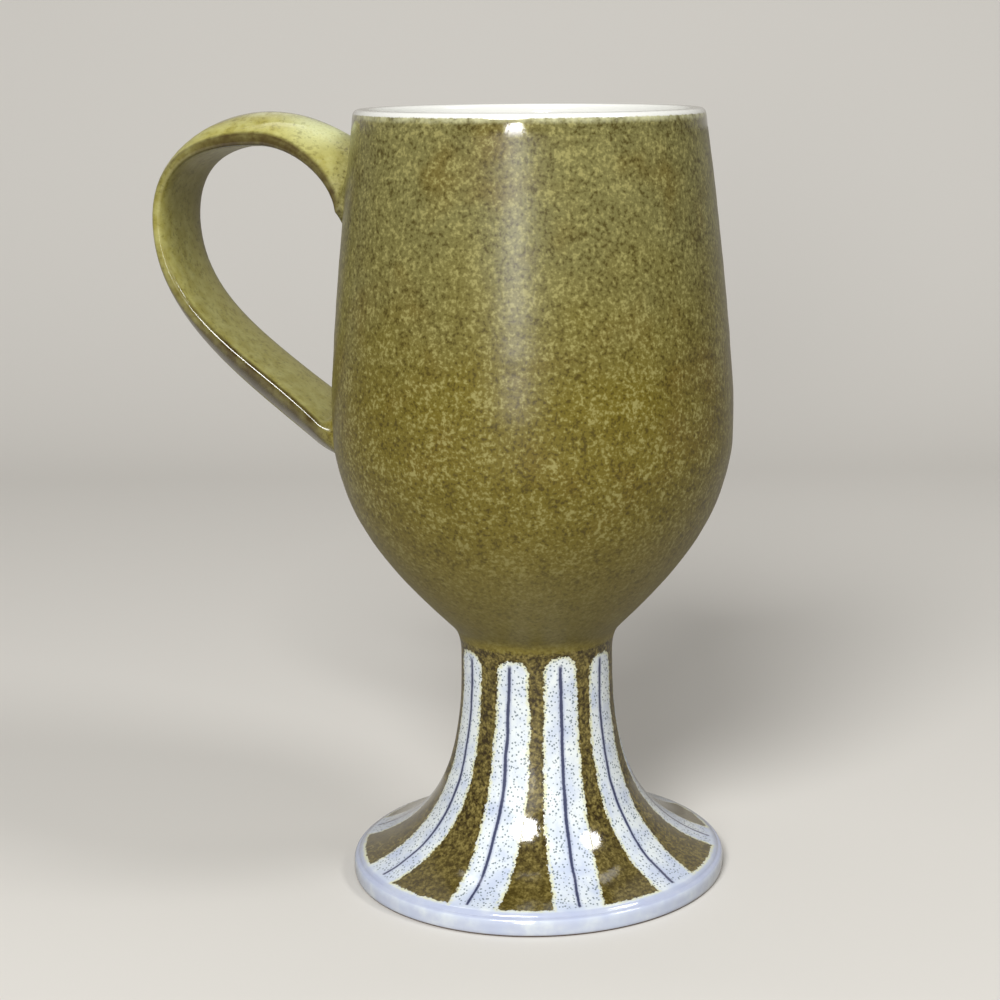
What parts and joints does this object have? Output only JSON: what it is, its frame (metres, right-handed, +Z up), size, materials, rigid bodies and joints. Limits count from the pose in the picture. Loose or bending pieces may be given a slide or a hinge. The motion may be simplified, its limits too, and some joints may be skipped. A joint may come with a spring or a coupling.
{
  "type": "pedestal mug",
  "caption": "Glazed stoneware drinking mug: a deep round-bottomed bowl on a hollow flared pedestal, with a pulled strap handle.",
  "frame": {"origin": "on the axis of the bowl, in the plane of the foot ring that the mug rests on", "axes": "+Z up along the axis of the bowl, handle towards -X in the XZ plane, +Y square to the handle"},
  "size_m": [0.1199, 0.0798, 0.155],
  "materials": {
    "glazed_stoneware": "glossy olive green speckled glaze over a pale striped foot"
  },
  "bodies": {
    "root": {"pedestal_mug": "glazed_stoneware"}
  },
  "joints": []
}
